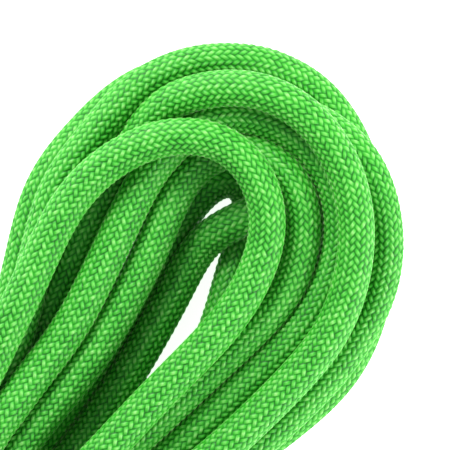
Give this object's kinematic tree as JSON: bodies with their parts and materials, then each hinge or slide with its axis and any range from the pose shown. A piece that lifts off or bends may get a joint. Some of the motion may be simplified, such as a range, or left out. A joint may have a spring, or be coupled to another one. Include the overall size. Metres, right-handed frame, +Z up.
{
  "type": "dynamic climbing rope",
  "caption": "Kernmantle climbing rope with a herringbone-braided sheath, folded into a loose hank and bound at the waist with its own last turns.",
  "frame": {"origin": "on the floor, under the middle of the hank's waist; centre of the bottom of the bounding box", "axes": "+X along the hank, towards the bends that fan out widest; +Z up; +Y across the hank"},
  "size_m": [0.37, 0.101, 0.058],
  "materials": {
    "sheath": "bright green braided polyamide with a slight filament sheen",
    "core": "undyed white polyamide strands",
    "id_thread": "thin dyed marker thread",
    "seal": "melted polyamide, smooth and slightly glossy",
    "sleeve": "black shrunk-on plastic sleeve"
  },
  "bodies": {
    "root": {"hank_body": "sheath", "start_core_strand_01": "core", "start_core_strand_02": "core", "start_core_strand_03": "core", "start_core_strand_04": "core", "start_core_strand_05": "core", "start_core_strand_06": "core", "start_core_strand_07": "core", "start_core_strand_08": "core", "start_core_strand_09": "core", "start_core_strand_10": "core", "start_core_strand_11": "core", "start_core_strand_12": "core", "start_id_thread": "id_thread", "start_seal": "seal", "start_sheath": "sheath", "start_sleeve": "sleeve", "waist_binding": "sheath", "working_core_strand_01": "core", "working_core_strand_02": "core", "working_core_strand_03": "core", "working_core_strand_04": "core", "working_core_strand_05": "core", "working_core_strand_06": "core", "working_core_strand_07": "core", "working_core_strand_08": "core", "working_core_strand_09": "core", "working_core_strand_10": "core", "working_core_strand_11": "core", "working_core_strand_12": "core", "working_id_thread": "id_thread", "working_seal": "seal", "working_sheath": "sheath", "working_sleeve": "sleeve"}
  },
  "joints": []
}
